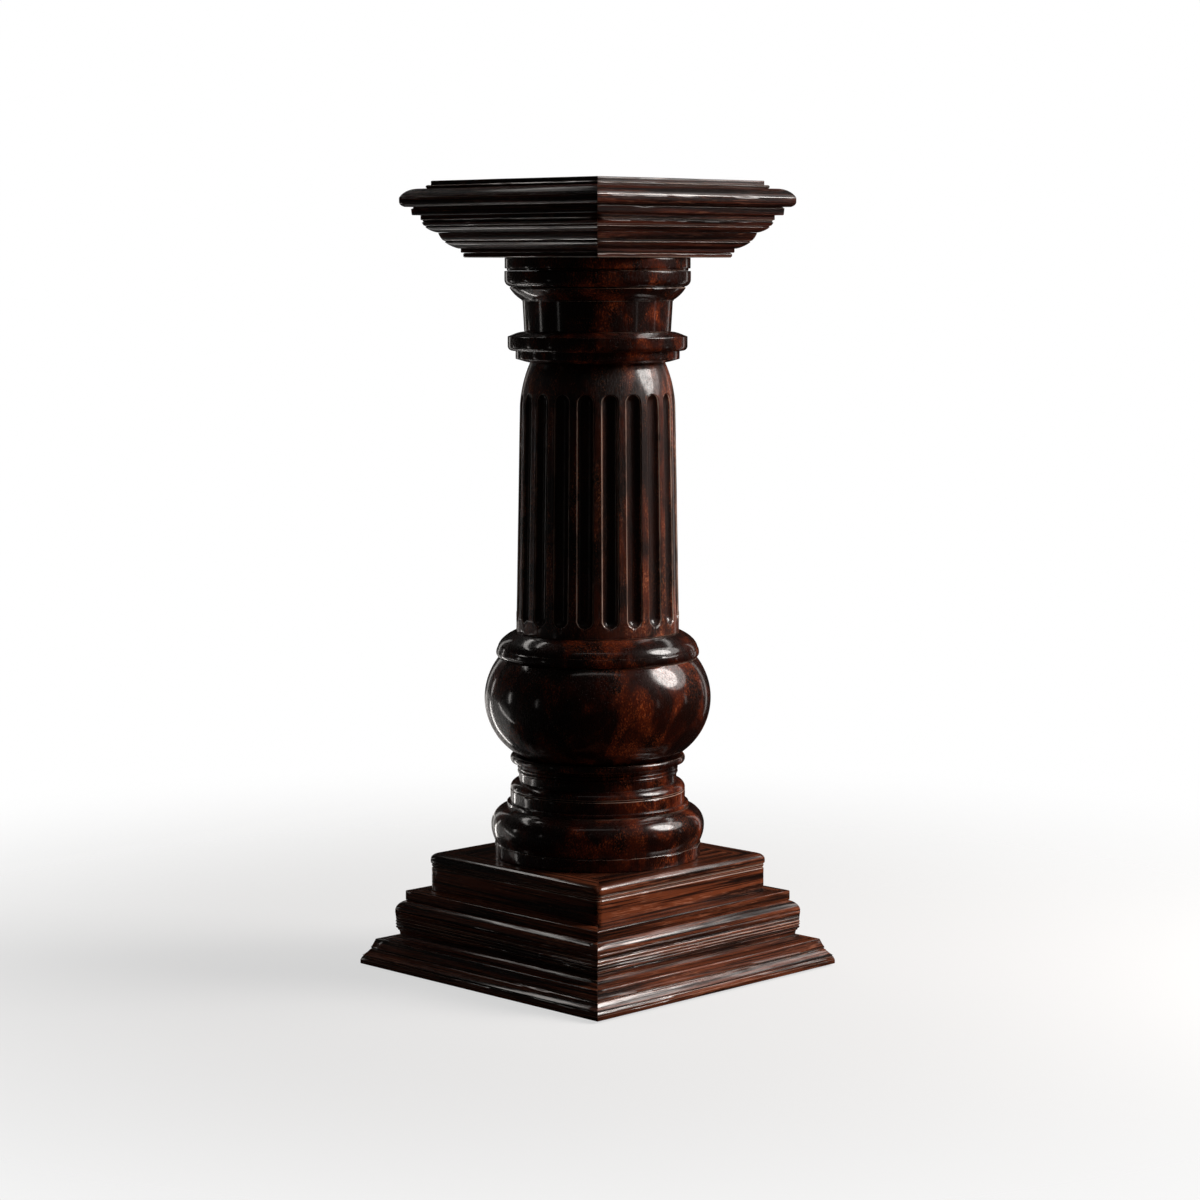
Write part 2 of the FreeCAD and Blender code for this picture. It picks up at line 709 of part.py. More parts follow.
foot = turned_piece("column_foot", "plinth_top", "foot_height", [
    at("foot_ring_radius", "0", "eased_edge"),
    at("foot_ring_radius", "foot_ring_rise - quirk_width / 2"),
    at("foot_ring_radius - quirk_depth", "foot_ring_rise - quirk_width / 2"),
    at("foot_ring_radius - quirk_depth", "foot_ring_rise", upright=True),
    at("foot_ring_radius + foot_torus_out", "foot_belly", upright=True),
    at("foot_ring_radius + foot_torus_out - foot_torus_in", "foot_belly + foot_torus_high"),
    at("foot_ring_radius + foot_torus_out - foot_torus_in - foot_neck_in", "foot_height")],
    socket=False)
dowel_holes(foot, "dowel_up")

turned_piece("lower_collar", "foot_top", "lower_collar_height", [
    at("lower_fillet_radius", "0"),
    at("lower_fillet_radius", "lower_fillet_rise", "eased_edge"),
    at("lower_ring_radius", "lower_fillet_rise"),
    at("lower_ring_radius", "lower_ring_top - quirk_width"),
    at("lower_ring_radius - quirk_depth", "lower_ring_top - quirk_width / 2"),
    at("lower_ring_radius", "lower_ring_top", bow="round_bow"),
    at("lower_neck_radius + quirk_depth", "lower_crown_top"),
    at("lower_neck_radius", "lower_crown_top"),
    at("lower_neck_radius", "lower_bead_foot", bow="bead_bow"),
    at("lower_neck_radius", "lower_bead_foot + lower_bead_rise", bow="bead_bow"),
    at("lower_neck_radius", "lower_flare_foot", bow="-round_bow"),
    at("lower_lip_radius", "lower_lip_foot", bow="round_bow"),
    at("lower_lip_radius", "lower_collar_height")])

turned_piece("bulb", "lower_collar_top", "bulb_height", [
    at("bulb_radius - bulb_foot_in", "0", upright=True),
    at("bulb_radius", "bulb_belly_rise", upright=True),
    at("bulb_radius - bulb_crown_in", "bulb_height")])

collar_step_radius = "collar_radius - quirk_depth - collar_step_in"
turned_piece("shaft_collar", "bulb_top", "collar_height", [
    at("collar_radius - collar_foot_in", "0", upright=True),
    at("collar_radius", "collar_bead_low", upright=True),
    at("collar_radius - quirk_depth", "collar_bead_top"),
    at(collar_step_radius, "collar_bead_top", bow="gentle_bow"),
    at(f"{collar_step_radius} - collar_fillet_in", "collar_step_top"),
    at(f"{collar_step_radius} - collar_fillet_in - quirk_depth", "collar_fillet_top",
       bow="gentle_bow"),
    at(f"{collar_step_radius} - collar_fillet_in - collar_crown_in", "collar_height")])

shaft = turned_piece("fluted_shaft", "collar_top", "shaft_height", [
    at("shaft_foot_radius", "0", bow="entasis_bow"),
    at("shaft_shoulder_radius", "shaft_straight_rise", bow="shoulder_bow"),
    at("shaft_neck_radius", "shaft_height")])

turned_piece("necking_rings", "shaft_top", "necking_height", [
    at("shaft_neck_radius", "0"),
    at("necking_lip_radius", "necking_splay_rise", "eased_edge"),
    at("necking_lip_radius", "necking_lip_top"),
    at("necking_ring_radius - necking_ring_round", "necking_lip_top", bow="round_bow"),
    at("necking_ring_radius", "necking_lip_top + necking_ring_round"),
    at("necking_ring_radius", "necking_ring_top", "eased_edge"),
    at("necking_crown_radius", "necking_height")])

turned_piece("capital", "necking_top", "capital_height", [
    at("capital_neck_radius", "0"),
    at("capital_neck_top_radius", "capital_neck_rise"),
    at("capital_ovolo_foot_radius", "capital_neck_rise"),
    at("capital_ovolo_foot_radius", "capital_ovolo_foot", bow="gentle_bow"),
    at("capital_ovolo_radius", "capital_ovolo_top"),
    at("capital_ovolo_radius - capital_quirk_in", "capital_swell_foot", bow="round_bow"),
    at("capital_band_radius", "capital_swell_top"),
    at("capital_band_radius", "capital_height", "eased_edge")])

abacus = turned_piece("abacus_disc", "capital_top", "abacus_height", [
    at("abacus_radius - abacus_throat_in", "0"),
    at("abacus_radius - abacus_throat_in", "abacus_throat_rise"),
    at("abacus_radius", "abacus_throat_rise", "eased_edge"),
    at("abacus_radius", "abacus_height", "eased_edge")], spigot=False)
dowel_holes(abacus, "dowel_down", "abacus_height - dowel_down")

# The flutes of the shaft: grooves of a ball-nosed cutter that follows the taper.
# One groove is drawn as half of the cutter's path, whose first edge is the
# middle line, and then repeated round the shaft.


def flute_centre(height):
    """Where the middle of the cutter lies at a height of the shaft."""
    taper = f"shaft_taper_in * ({height}) / shaft_straight_rise"
    return at(f"shaft_foot_radius - {taper} + flute_cutter - flute_depth", height)


low_centre = flute_centre("flute_foot")
high_centre = flute_centre("shaft_straight_rise + flute_crown")
low = Vector(number(low_centre["across"]), number(low_centre["up"]), 0)
high = Vector(number(high_centre["across"]), number(high_centre["up"]), 0)
cutter = number("flute_cutter")
climb = (high - low).normalize() * cutter
inward = Vector(-climb.y, climb.x, 0)
high_diagonal = (inward + climb).normalize() * cutter
low_diagonal = (inward - climb).normalize() * cutter
flute_outline = new_sketch(shaft, "flute_outline", "XZ_Plane")
middle_line, high_end, side_line, low_end = flute_outline.addGeometry([
    Part.LineSegment(low - climb, high + climb),
    Part.Arc(high + climb, high + high_diagonal, high + inward),
    Part.LineSegment(high + inward, low + inward),
    Part.Arc(low + inward, low + low_diagonal, low - climb)], False)
flute_outline.addConstraint([
    Sketcher.Constraint("Coincident", middle_line, 2, high_end, 1),
    Sketcher.Constraint("Tangent", high_end, 2, side_line, 1),
    Sketcher.Constraint("Tangent", side_line, 2, low_end, 1),
    Sketcher.Constraint("Coincident", low_end, 2, middle_line, 1),
    Sketcher.Constraint("PointOnObject", high_end, 3, middle_line),
    Sketcher.Constraint("PointOnObject", low_end, 3, middle_line),
    Sketcher.Constraint("Equal", high_end, low_end)])
hold(flute_outline, low_end, 3, low_centre)
hold(flute_outline, high_end, 3, high_centre)
fix(flute_outline, "Radius", "flute_cutter", high_end)
repeat(shaft, "flutes", [bore_out(shaft, "flute", flute_outline)], "flute_count")

# The cap. The tie rod clamps its core to the column, two tiers of moulding are
# glued round the core, and the top panel's tongue drops into the nosing frame.

soffit = new_body("soffit_board", "abacus_top")
plate(soffit, "board", rectangle("soffit_half", "soffit_half"), "soffit_thick")
rod_bore(soffit)
dowel_holes(soffit)

core = new_body("cap_core", "soffit_top")
plate(core, "block", rectangle("core_half", "core_half"), "core_height")
rod_bore(core)
nut_pocket = new_sketch(core, "nut_pocket_outline", "XY_Plane", "core_height - nut_pocket_depth")
pocket(core, "nut_pocket", draw_circles(nut_pocket, "nut_pocket_radius", [at("0", "0")]),
       "nut_pocket_depth")
dowel_holes(core, "dowel_up")

for side, angle in SIDES:
    mitred(f"ovolo_mould_{side}", "soffit_top", angle, "ovolo_half", [
        at("core_half", "0"),
        at("ovolo_fillet_half", "0", "eased_edge"),
        at("ovolo_fillet_half", "ovolo_fillet_rise"),
        at("ovolo_fillet_half + ovolo_step_out", "ovolo_fillet_rise", bow="ovolo_bow"),
        at("ovolo_half", "ovolo_height"),
        at("core_half", "ovolo_height")])

for side, angle in SIDES:
    mitred(f"bed_mould_{side}", "ovolo_top", angle, "bed_half", [
        at("core_half", "0"),
        at("bed_foot_half", "0", bow="ovolo_bow"),
        at("bed_swell_half", "bed_swell_rise"),
        at("bed_swell_half - quirk_depth", "bed_swell_rise"),
        at("bed_swell_half - quirk_depth", "bed_fillet_foot"),
        at("bed_fillet_half", "bed_fillet_foot"),
        at("bed_fillet_half", "bed_fillet_top"),
        at("bed_fascia_half", "bed_fillet_top", "eased_edge"),
        at("bed_half", "bed_height"),
        at("core_half", "bed_height")])

# A loose spline stands across each mitre of the nosing. It is long along the
# mitre, and half its width is in each of the two lengths that meet there.


def spline_plan(gap):
    along = f"(spline_half_length + {gap}) / sqrt(2)"
    over = f"(spline_half_width + {gap}) / sqrt(2)"
    return [at(f"spline_centre - {along} + {over}", f"spline_centre - {along} - {over}"),
            at(f"spline_centre + {along} + {over}", f"spline_centre + {along} - {over}"),
            at(f"spline_centre + {along} - {over}", f"spline_centre + {along} + {over}"),
            at(f"spline_centre - {along} - {over}", f"spline_centre - {along} + {over}")]


for side, angle in SIDES:
    nosing = mitred(f"nosing_{side}", "bed_top", angle, "nosing_half", [
        at("core_half", "0"),
        at("nosing_half - nosing_under_in", "0", upright=True),
        at("nosing_half", "nosing_under_rise"),
        at("nosing_half", "nosing_arc_foot", bow="nosing_bow"),
        at("nosing_half - nosing_top_in", "nosing_height"),
        at("core_half", "nosing_height")])
    slot = draw(new_sketch(nosing, "slot_outline", "XY_Plane", "spline_foot"),
                spline_plan("fit_gap"))
    reflect(nosing, "other_slot", pocket(nosing, "slot", slot, "spline_thick + fit_gap"))

splines = new_body("nosing_splines", "bed_top + spline_foot")
spline_outline = draw(new_sketch(splines, "spline_outline", "XY_Plane"), spline_plan("0"))
repeat(splines, "four_splines", [pad(splines, "first_spline", spline_outline, "spline_thick")],
       "4")

panel = new_body("top_panel", "bed_top")
plate(panel, "tongue", rectangle("core_half - fit_gap", "core_half - fit_gap"), "nosing_height")
plate(panel, "lower_step", rectangle("panel_step_half", "panel_step_half"), "panel_step_rise",
      "nosing_height")
plate(panel, "upper_step",
      rectangle("panel_step_half - panel_top_in", "panel_step_half - panel_top_in"),
      "panel_top_rise", "nosing_height + panel_step_rise")
soften_top(panel, "nosing_height + panel_step_rise + panel_top_rise", "eased_edge")

# The fastenings on the column's axis, and the dowels that stop the column and
# the cap from turning.

tie_rod = new_body("tie_rod", "rod_low")
turn(tie_rod, "turning", draw(new_sketch(tie_rod, "outline", "XZ_Plane"), [
    at("0", "0"),
    at("rod_radius - rod_chamfer", "0"),
    at("rod_radius", "rod_chamfer"),
    at("rod_radius", "rod_length - rod_chamfer"),
    at("rod_radius - rod_chamfer", "rod_length"),
    at("0", "rod_length")]))

washers = new_body("tie_rod_washers", "floor")
nuts = new_body("tie_rod_nuts", "floor")
nut_tip = "nut_flat_half / cos(30)"
nut_side = "nut_flat_half * tan(30)"
for end, washer_foot, nut_foot in (
        ("low", "bearer_foot - washer_thick", "bearer_foot - washer_thick - nut_thick"),
        ("high", "cap_seat", "cap_seat + washer_thick")):
    ring = new_sketch(washers, f"{end}_washer_outline", "XY_Plane", washer_foot)
    pad(washers, f"{end}_washer", draw_circles(ring, "washer_radius", [at("0", "0")]),
        "washer_thick")
    plate(nuts, f"{end}_nut", [
        at(f"-{nut_side}", "-nut_flat_half"), at(nut_side, "-nut_flat_half"),
        at(nut_tip, "0"), at(nut_side, "nut_flat_half"),
        at(f"-{nut_side}", "nut_flat_half"), at(f"-{nut_tip}", "0")], "nut_thick", nut_foot)
for fastener in (washers, nuts):
    bore = new_sketch(fastener, "bore_outline", "XY_Plane", "rod_low")
    pocket(fastener, "bore", draw_circles(bore, "rod_radius + fit_gap", [at("0", "0")]))

for name, foot_level, length in (
        ("foot_dowels", "box_top - dowel_down", "board_thick + dowel_down + dowel_up - end_gap"),
        ("cap_dowels", "abacus_top - dowel_down", "soffit_thick + dowel_down + dowel_up - end_gap")):
    dowels = new_body(name, foot_level)
    for hand, reach in (("right", "dowel_reach"), ("left", "-dowel_reach")):
        ring = new_sketch(dowels, f"{hand}_dowel_outline", "XY_Plane")
        pad(dowels, f"{hand}_dowel", draw_circles(ring, "dowel_radius", [at(reach, "0")]), length)

# Nothing is written unless every object and every piece has come out sound.

doc.recompute()
for thing in doc.Objects:
    if "Invalid" in thing.State or "Error" in thing.State:
        raise RuntimeError(f"{thing.Label} has failed: {thing.getStatusString()}")
pieces = [thing for thing in doc.Objects if thing.TypeId == "PartDesign::Body"]
for piece in pieces:
    if piece.Shape.isNull() or not piece.Shape.isValid():
        raise RuntimeError(f"{piece.Label} has no valid shape")

os.makedirs("parts", exist_ok=True)
for piece in pieces:
    piece.Shape.exportStep(f"parts/{piece.Label}.step")
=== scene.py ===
import math
import bmesh
import bpy
from mathutils import Matrix, Vector, noise


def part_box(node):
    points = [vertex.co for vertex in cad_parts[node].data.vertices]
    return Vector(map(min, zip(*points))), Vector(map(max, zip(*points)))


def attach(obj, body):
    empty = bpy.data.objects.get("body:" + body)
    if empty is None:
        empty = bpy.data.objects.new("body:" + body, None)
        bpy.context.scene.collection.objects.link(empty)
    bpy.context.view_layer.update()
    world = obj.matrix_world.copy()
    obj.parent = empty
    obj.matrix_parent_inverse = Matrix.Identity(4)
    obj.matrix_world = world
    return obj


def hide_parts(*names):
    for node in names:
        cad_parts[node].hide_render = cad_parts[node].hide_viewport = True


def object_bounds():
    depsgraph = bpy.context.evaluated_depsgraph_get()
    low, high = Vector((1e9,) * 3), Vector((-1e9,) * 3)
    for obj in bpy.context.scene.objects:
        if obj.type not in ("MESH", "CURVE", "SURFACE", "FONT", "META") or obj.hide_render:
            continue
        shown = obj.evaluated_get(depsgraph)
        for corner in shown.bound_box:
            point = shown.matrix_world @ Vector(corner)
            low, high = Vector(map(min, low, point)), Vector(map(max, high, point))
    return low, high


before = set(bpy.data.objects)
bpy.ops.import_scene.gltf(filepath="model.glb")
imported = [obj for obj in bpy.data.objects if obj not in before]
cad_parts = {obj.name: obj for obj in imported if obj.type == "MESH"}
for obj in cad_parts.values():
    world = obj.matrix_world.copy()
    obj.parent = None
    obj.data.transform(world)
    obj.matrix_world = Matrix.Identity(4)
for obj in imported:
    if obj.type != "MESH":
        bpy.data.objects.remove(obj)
cad_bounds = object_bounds()

# The view. The camera stands off the corner between the front and the right, a
# little below the level of the cap, and looks slightly down at the column.

view_turn = math.radians(45)
view_distance = 3.515
view_height = 0.818
view_pitch = math.radians(6.27)
view_side_step = 0.0027
sensor_width = 36.0
focal_pixels = 3048
picture_pixels = 1200

view_ahead = Vector((-math.sin(view_turn), math.cos(view_turn), 0))
view_right = Vector((math.cos(view_turn), math.sin(view_turn), 0))
camera = bpy.data.objects.new("camera", bpy.data.cameras.new("camera"))
bpy.context.scene.collection.objects.link(camera)
bpy.context.scene.camera = camera
camera.location = (Vector((0, 0, view_height)) - view_ahead * view_distance
                   + view_right * view_side_step)
look = view_ahead * math.cos(view_pitch) - Vector((0, 0, math.sin(view_pitch)))
camera.rotation_euler = look.to_track_quat("-Z", "Y").to_euler()
camera.data.sensor_width = sensor_width
camera.data.lens = sensor_width * focal_pixels / picture_pixels
bpy.context.scene.view_settings.view_transform = "Standard"


# The set. A white world stands behind the column, and a pale floor carries its
# shadow and fades out into that white. Black drapes hang all round, out of the
# camera's sight. The polish mirrors them and the lamps, and not the floor.

class Value:
    """A shader value. A sum written with it adds the Math nodes that it needs."""

    def __init__(self, finish, socket):
        self.finish = finish
        self.socket = socket

    def maths(self, operation, *terms):
        return self.finish.node("ShaderNodeMath", {"operation": operation}, dict(enumerate(terms)))

    def __add__(self, other):
        return self.maths("ADD", self, other)

    def __radd__(self, other):
        return self.maths("ADD", other, self)

    def __sub__(self, other):
        return self.maths("SUBTRACT", self, other)

    def __rsub__(self, other):
        return self.maths("SUBTRACT", other, self)

    def __mul__(self, other):
        return self.maths("MULTIPLY", self, other)

    def __rmul__(self, other):
        return self.maths("MULTIPLY", other, self)


class Finish:
    """The nodes of a material or of the world, made from expressions."""

    def __init__(self, owner):
        owner.use_nodes = True
        self.tree = owner.node_tree
        self.tree.nodes.clear()

    def node(self, kind, settings=(), inputs=(), output=0):
        """Add a node: its settings first, then the values or links of its sockets."""
        made = self.tree.nodes.new(kind)
        for setting, choice in dict(settings).items():
            setattr(made, setting, choice)
        for name, content in dict(inputs).items():
            if isinstance(content, Value):
                self.tree.links.new(content.socket, made.inputs[name])
            else:
                made.inputs[name].default_value = content
        if made.outputs:
            return Value(self, made.outputs[output])
        return made

    def ramp(self, value, start, end):
        """0 below start and 1 above end, with a smooth rise between."""
        return self.node("ShaderNodeMapRange", {"interpolation_type": "SMOOTHSTEP"},
                         {"Value": value, "From Min": start, "From Max": end})

    def blend(self, share, first, second):
        """One colour where share is 0, turning into another where it is 1."""
        return self.node("ShaderNodeMix", {"data_type": "RGBA"},
                         {0: share, 6: first, 7: second}, 2)


def colour(red, green, blue):
    return (red, green, blue, 1.0)


def seen_by(finish):
    """1 for the rays that show a surface: straight on, mirrored or through glass."""
    camera_ray = finish.node("ShaderNodeLightPath")
    kinds = camera_ray.socket.node.outputs
    return camera_ray + Value(finish, kinds["Is Glossy Ray"]) + Value(
        finish, kinds["Is Transmission Ray"])


white = colour(1, 1, 1)
room_grey = colour(0.006, 0.006, 0.006)
world = bpy.data.worlds.new("studio")
bpy.context.scene.world = world
studio = Finish(world)
backdrop = studio.node("ShaderNodeBackground",
                       inputs={"Color": studio.blend(seen_by(studio), room_grey, white)})
studio.node("ShaderNodeOutputWorld", inputs={"Surface": backdrop})

floor_radius = 1.6
fade_start = 0.4
fade_end = 1.5
shadow_lift = 0.62
floor_seen = colour(0.9, 0.9, 0.9)
floor_bounce = colour(0.10, 0.10, 0.10)
floor_mesh = bpy.data.meshes.new("floor")
floor_shape = bmesh.new()
bmesh.ops.create_circle(floor_shape, cap_ends=True, segments=96, radius=floor_radius)
floor_shape.to_mesh(floor_mesh)
floor = bpy.data.objects.new("floor", floor_mesh)
bpy.context.scene.collection.objects.link(floor)
floor_paint = bpy.data.materials.new("floor_paint")
paint = Finish(floor_paint)
spot = paint.node("ShaderNodeTexCoord", output="Object")
from_middle = paint.node("ShaderNodeVectorMath", {"operation": "LENGTH"}, {0: spot}, "Value")
shows = seen_by(paint)
painted = paint.node("ShaderNodeBsdfDiffuse", inputs={
    "Color": paint.blend(shows, floor_bounce, floor_seen)})
glow = paint.node("ShaderNodeEmission", inputs={"Color": white, "Strength": 1.0})
lit = paint.node("ShaderNodeMixShader", inputs={0: shows * shadow_lift, 1: painted, 2: glow})
faded = paint.node("ShaderNodeBsdfTransparent")
paint.node("ShaderNodeOutputMaterial", inputs={"Surface": paint.node(
    "ShaderNodeMixShader", inputs={0: paint.ramp(from_middle, fade_start, fade_end),
                                   1: lit, 2: faded})})
floor_mesh.materials.append(floor_paint)
floor.visible_glossy = False

stand_height = cad_bounds[1].z
drape_radius = 2.9
drape_black = colour(0.03, 0.027, 0.025)
drape_mesh = bpy.data.meshes.new("drapes")
drape_shape = bmesh.new()
bmesh.ops.create_uvsphere(drape_shape, u_segments=48, v_segments=24, radius=drape_radius)
drape_shape.to_mesh(drape_mesh)
drapes = bpy.data.objects.new("drapes", drape_mesh)
bpy.context.scene.collection.objects.link(drapes)
drapes.location.z = stand_height / 2
drapes.visible_camera = False
drapes.visible_diffuse = False
drapes.visible_shadow = False
drapes.visible_transmission = False
drape_cloth = bpy.data.materials.new("drape_cloth")
cloth = Finish(drape_cloth)
cloth.node("ShaderNodeOutputMaterial", inputs={"Surface": cloth.node(
    "ShaderNodeBsdfDiffuse", inputs={"Color": drape_black})})
drape_mesh.materials.append(drape_cloth)

# The lamps. A large window at the right, with its glow on the wall round it,
# models the round parts and lays silver on the right-hand faces. Long panels
# above and narrow strips all round draw the thin lines on the arrises. A bounce
# from below lifts the cap's left side, and a fill the plinth's right side.

lamp_white = (1.0, 0.955, 0.92)
up = Vector((0, 0, 1))
column_middle = (0, 0, stand_height / 2)
cap_top = (0, 0, stand_height)


def stood(to_right, behind, height):
    """A place in the set, as the camera sees it from the column's axis."""
    return view_right * to_right + view_ahead * behind + up * height


def hang_panel(name, place, width, height, radiance, aim=column_middle):
    """An oval soft light of an even radiance, turned to face a point."""
    lamp = bpy.data.lights.new(name, "AREA")
    lamp.shape = "ELLIPSE"
    lamp.color = lamp_white
    lamp.size = width
    lamp.size_y = height
    lamp.energy = radiance * math.pi * math.pi / 4 * width * height
    panel = bpy.data.objects.new(name, lamp)
    bpy.context.scene.collection.objects.link(panel)
    panel.visible_camera = False
    panel.location = place
    panel.rotation_euler = (Vector(aim) - Vector(place)).to_track_quat("-Z", "Y").to_euler()
    return panel


hang_panel("window", stood(2.0, -0.1, 1.65), width=1.0, height=1.2, radiance=11.5)
hang_panel("window_glow", stood(2.1, 0.15, 1.75), width=1.9, height=1.8, radiance=2.8)
hang_panel("left_panel", stood(-1.5, 1.35, 2.1), width=2.4, height=0.2, radiance=3.2)
hang_panel("high_panel", stood(-1.25, 1.25, 2.65), width=1.5, height=0.15, radiance=3.2)
hang_panel("right_panel", stood(1.5, 1.35, 2.1), width=2.4, height=0.2, radiance=2.2)
hang_panel("far_strip", stood(-0.95, 1.8, 0.5), width=0.25, height=1.5, radiance=0.8)
hang_panel("right_strip", stood(1.25, 1.6, 0.5), width=0.2, height=1.5, radiance=0.8)
hang_panel("overhead_panel", stood(0, -0.95, 1.9), width=1.5, height=0.10, radiance=0.9)
hang_panel("left_bounce", stood(-0.72, 0.72, 0.02), width=1.5, height=0.6, radiance=0.28,
           aim=cap_top)

# A ring of short upright strips, for the arrises of the flutes.

ring_reach = 2.1
ring_middle = up * 0.4
ring_length = 0.46
for number, (angle, width, radiance) in enumerate((
        (-134, 0.08, 3.0), (-98, 0.12, 2.4), (-62, 0.06, 0.9),
        (62, 0.06, 0.8), (98, 0.06, 1.5), (134, 0.06, 1.5))):
    away = Matrix.Rotation(math.radians(angle), 3, "Z") @ -view_ahead
    hang_panel(f"strip_{number}", away * ring_reach + ring_middle, width, ring_length,
               radiance, aim=ring_middle)

# Strips that lie low at the left and shine upward, for the arrises that face down.

low_strip_height = 0.1
upward = stood(0.15, -0.15, 1)
for number, (to_right, behind, radiance) in enumerate((
        (-0.58, 0.58, 7.5), (-0.95, 0.32, 3.5), (-0.32, 0.95, 1.8))):
    place = stood(to_right, behind, low_strip_height)
    hang_panel(f"low_strip_{number}", place, width=0.05, height=0.8, radiance=radiance,
               aim=place + upward)

fill = hang_panel("fill", stood(1.15, -0.2, 0.1), width=0.8, height=0.6, radiance=5.2)
fill.visible_glossy = False

# The felt pads, the first pieces to touch the floor. They are punched from wool
# felt and glued under the corners of the base, so they stay plain CAD discs with
# a fibrous finish.

felt = bpy.data.materials.new("felt_finish")
fibre = Finish(felt)
felt_place = fibre.node("ShaderNodeTexCoord", output="Object")
tufts = fibre.node("ShaderNodeTexNoise", inputs={
    "Vector": felt_place, "Scale": 900.0, "Detail": 4.0, "Distortion": 1.5})
felt_bump = fibre.node("ShaderNodeBump", inputs={
    "Strength": 0.8, "Distance": 0.0006, "Height": tufts})
fibre.node("ShaderNodeOutputMaterial", inputs={"Surface": fibre.node(
    "ShaderNodeBsdfPrincipled", inputs={
        "Base Color": fibre.blend(tufts, colour(0.012, 0.010, 0.009), colour(0.06, 0.05, 0.045)),
        "Roughness": 0.95, "Sheen Weight": 0.3, "Normal": felt_bump})})


def give_finish(node, material):
    """Put a finish on a CAD piece that is shown as it is."""
    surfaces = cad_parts[node].data.materials
    for place in range(len(surfaces)):
        surfaces[place] = material


give_finish("felt_pads", felt)

# The box plinth. Its four boards are mitred, glued round corner blocks and
# rounded over at the corners, with one fine groove cut below their top edge. The
# helpers read a piece's outline off the frame, soften it as a scraper and years
# of polish do, and run it along a side.

SIDES = (("back", 0), ("left", 90), ("front", 180), ("right", 270))
touching = 1e-6
sharp_turn = math.radians(22)
slight_turn = math.radians(0.4)
finest_step = 0.0004
widest_step = 0.0026
hollow_ease = 0.0002
board_ease = 0.0011
bore_reach = 0.03
ease_limit = 0.3
ease_shares = (0, 0.15, 0.85, 1)
wear_end = 1.3


def section_of(node, out):
    """The outline of a CAD piece in the upright plane that runs from the axis along out.

    Each point is its distance out from the axis and its height. The points run
    anticlockwise, and an outline that ends on the axis starts there too.
    """
    shape = bmesh.new()
    shape.from_mesh(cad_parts[node].data)
    bmesh.ops.remove_doubles(shape, verts=shape.verts, dist=touching)
    everything = shape.verts[:] + shape.edges[:] + shape.faces[:]
    cut = bmesh.ops.bisect_plane(shape, geom=everything, dist=touching, plane_no=out.cross(up))
    neighbours = {}
    for edge in cut["geom_cut"]:
        if isinstance(edge, bmesh.types.BMEdge):
            if all(corner.co.dot(out) > -touching for corner in edge.verts):
                for corner in edge.verts:
                    neighbours.setdefault(corner, []).append(edge.other_vert(corner))
    ends = [corner for corner, near in neighbours.items() if len(near) == 1]
    chain = [ends[0] if ends else next(iter(neighbours))]
    passed = set()
    while chain[-1] not in passed:
        passed.add(chain[-1])
        chain += [corner for corner in neighbours[chain[-1]] if corner not in passed][:1]
    points = [Vector((corner.co.dot(out), corner.co.z)) for corner in chain[:len(passed)]]
    shape.free()
    area = sum(first.cross(second) for first, second in zip(points, points[1:] + points[:1]))
    return points if area > 0 else points[::-1]


def turning(before, point, after):
    """How far an outline turns at a point. It is more than zero on an arris."""
    return -(point - before).angle_signed(after - point, 0)


def softened(points, ease, spacing=widest_step):
    """Ease the arrises of an outline and space its points for a smooth polish.

    The bores near the axis are never seen, so no points are added there.

    Gives each point with its wear and shading: 1 on the arrises that hands have
    rubbed, which are also painted pale as a highlight, 0 on the faces, and -1 in
    the hollow corners, which are painted dark as shade.
    """
    points = [point for point, before, after
              in zip(points, points[-1:] + points, points[1:] + points[:1])
              if abs(turning(before, point, after)) > slight_turn]
    corners = []
    for before, point, after in zip(points[-1:] + points, points, points[1:] + points[:1]):
        turn = turning(before, point, after)
        if abs(turn) < sharp_turn:
            if not corners or (point - corners[-1][-1][0]).length > finest_step:
                corners.append([(point, 0.0)])
            continue
        setback = (ease if turn > 0 else hollow_ease) * math.tan(abs(turn) / 2)
        setback = min(setback, ease_limit * min((point - before).length,
                                                (after - point).length))
        back = (before - point).normalized() * setback
        ahead = (after - point).normalized() * setback
        wear_and_shading = math.copysign(1, turn)
        corners.append([(point + back * wear_end, 0.0)]
                       + [(point + back.lerp(ahead, share), wear_and_shading) for share in ease_shares]
                       + [(point + ahead * wear_end, 0.0)])
    spaced = []
    for place, corner in enumerate(corners):
        spaced += corner
        beyond = corners[(place + 1) % len(corners)]
        here, there = corner[-1][0], beyond[0][0]
        length = (there - here).length
        straight = (there - here) / max(length, touching)
        leaving, arriving = straight, straight
        if len(corner) == 1:
            leaving = (there - corners[place - 1][-1][0]).normalized()
        if len(beyond) == 1:
            arriving = (corners[(place + 2) % len(corners)][0][0] - here).normalized()
        added = int(length / spacing) if max(here.x, there.x) > bore_reach else 0
        for step in range(1, added + 1):
            share = step / (added + 1)
            rise = share * share * (3 - 2 * share)
            bend = share * (1 - share) * length
            spaced.append((here.lerp(there, rise) + leaving * bend * (1 - share)
                           - arriving * bend * share, 0.0))
    return spaced


side_steps = 26


